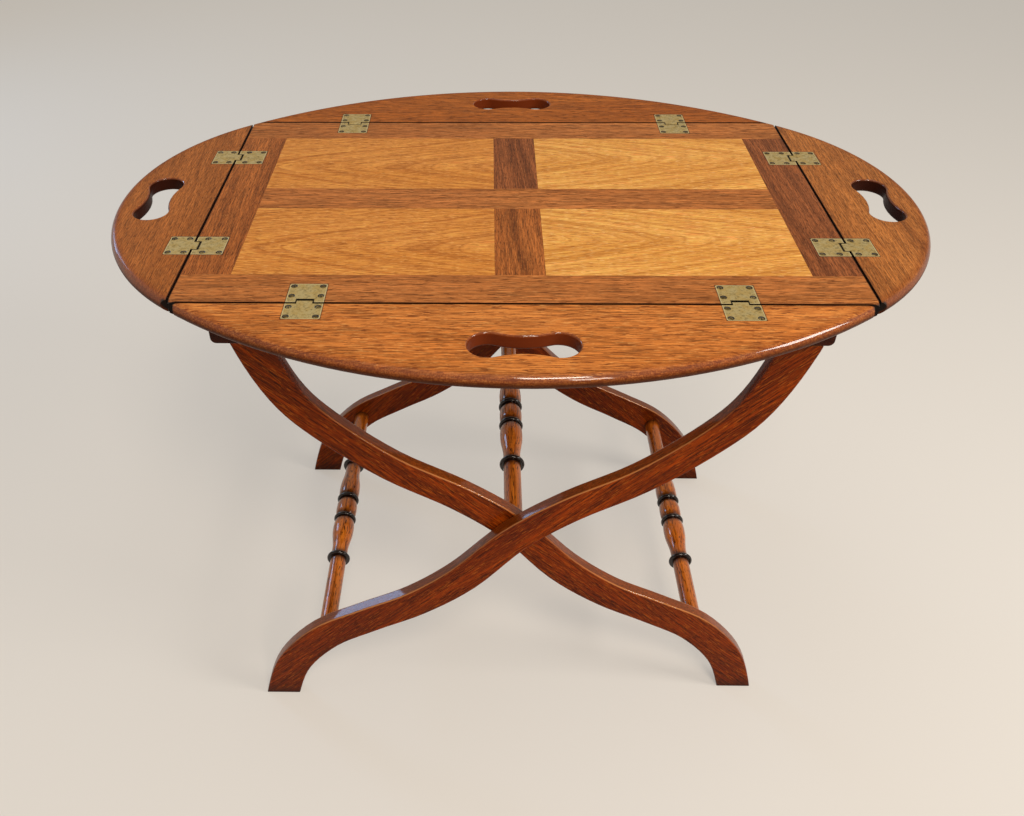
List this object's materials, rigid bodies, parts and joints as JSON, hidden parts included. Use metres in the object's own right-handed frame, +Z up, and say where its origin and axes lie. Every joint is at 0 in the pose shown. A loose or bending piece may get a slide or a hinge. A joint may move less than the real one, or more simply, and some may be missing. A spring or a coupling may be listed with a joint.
{
  "type": "butler tray table",
  "caption": "Oval wooden butler's tray with hinged leaves and hand holes, resting on a folding crossed stand with turned stretchers.",
  "frame": {"origin": "on the floor under the middle of the oval tray", "axes": "+X along the tray's length, +Y towards its back, +Z up"},
  "size_m": [0.928, 0.6908, 0.64],
  "materials": {
    "board_mahogany": "French-polished mahogany, dark red-brown",
    "panel_mahogany": "French-polished flat-cut mahogany, faded to golden brown",
    "leaf_mahogany": "French-polished mahogany, warm brown with fine dark pores",
    "stand_mahogany": "polished mahogany, glossy red-brown",
    "turned_mahogany": "turned and polished mahogany with blackened rings",
    "aged_brass": "aged brass, rubbed and slightly tarnished",
    "webbing": "woven linen webbing, undyed",
    "steel_tack": "blued steel tack"
  },
  "bodies": {
    "outer_frame": {"outer_leg_front": "stand_mahogany", "outer_leg_back": "stand_mahogany", "outer_stretcher": "turned_mahogany", "outer_top_rail": "stand_mahogany", "pivot_washers": "aged_brass", "web_front": "webbing", "web_back": "webbing", "outer_web_tacks": "steel_tack"},
    "inner_frame": {"inner_leg_front": "stand_mahogany", "inner_leg_back": "stand_mahogany", "inner_stretcher": "turned_mahogany", "centre_stretcher": "turned_mahogany", "inner_top_rail": "stand_mahogany", "inner_web_tacks": "steel_tack"},
    "tray": {"front_rail": "board_mahogany", "back_rail": "board_mahogany", "left_stile": "board_mahogany", "right_stile": "board_mahogany", "mid_rail": "board_mahogany", "mid_stile_front": "board_mahogany", "mid_stile_back": "board_mahogany", "panel_front_left": "panel_mahogany", "panel_front_right": "panel_mahogany", "panel_back_left": "panel_mahogany", "panel_back_right": "panel_mahogany", "board_plate_front_left": "aged_brass", "board_plate_front_right": "aged_brass", "board_plate_back_left": "aged_brass", "board_plate_back_right": "aged_brass", "board_plate_left_front": "aged_brass", "board_plate_left_back": "aged_brass", "board_plate_right_front": "aged_brass", "board_plate_right_back": "aged_brass", "hinge_pin_front_left": "aged_brass", "hinge_pin_front_right": "aged_brass", "hinge_pin_back_left": "aged_brass", "hinge_pin_back_right": "aged_brass", "hinge_pin_left_front": "aged_brass", "hinge_pin_left_back": "aged_brass", "hinge_pin_right_front": "aged_brass", "hinge_pin_right_back": "aged_brass", "board_hinge_screws": "aged_brass"},
    "front_leaf": {"front_leaf": "leaf_mahogany", "leaf_plate_front_left": "aged_brass", "leaf_plate_front_right": "aged_brass", "front_leaf_screws": "aged_brass"},
    "back_leaf": {"back_leaf": "leaf_mahogany", "leaf_plate_back_left": "aged_brass", "leaf_plate_back_right": "aged_brass", "back_leaf_screws": "aged_brass"},
    "left_leaf": {"left_leaf": "leaf_mahogany", "leaf_plate_left_front": "aged_brass", "leaf_plate_left_back": "aged_brass", "left_leaf_screws": "aged_brass"},
    "right_leaf": {"right_leaf": "leaf_mahogany", "leaf_plate_right_front": "aged_brass", "leaf_plate_right_back": "aged_brass", "right_leaf_screws": "aged_brass"}
  },
  "joints": [
    {"name": "front_leaf_hinge", "type": "hinge", "parent": "tray", "child": "front_leaf", "pos_m": [0, -0.2218, 0.6372], "axis": [-1, 0, 0], "range_deg": [0, 90]},
    {"name": "back_leaf_hinge", "type": "hinge", "parent": "tray", "child": "back_leaf", "pos_m": [0, 0.2218, 0.6372], "axis": [1, 0, 0], "range_deg": [0, 90]},
    {"name": "left_leaf_hinge", "type": "hinge", "parent": "tray", "child": "left_leaf", "pos_m": [-0.3478, 0, 0.6372], "axis": [0, 1, 0], "range_deg": [0, 90]},
    {"name": "right_leaf_hinge", "type": "hinge", "parent": "tray", "child": "right_leaf", "pos_m": [0.3478, 0, 0.6372], "axis": [0, -1, 0], "range_deg": [0, 90]},
    {"name": "stand_fold", "type": "hinge", "parent": "outer_frame", "child": "inner_frame", "pos_m": [0, 0, 0.3135], "axis": [0, 1, 0], "range_deg": [0, 78], "deforming": ["web_front", "web_back"]},
    {"name": "tray_lift", "type": "slide", "parent": "outer_frame", "child": "tray", "axis": [0, 0, 1], "range_m": [0, 0.479]}
  ],
  "couplings": [
    {"joint": "tray_lift", "follows": "stand_fold", "m_per_rad": 0.35}
  ]
}
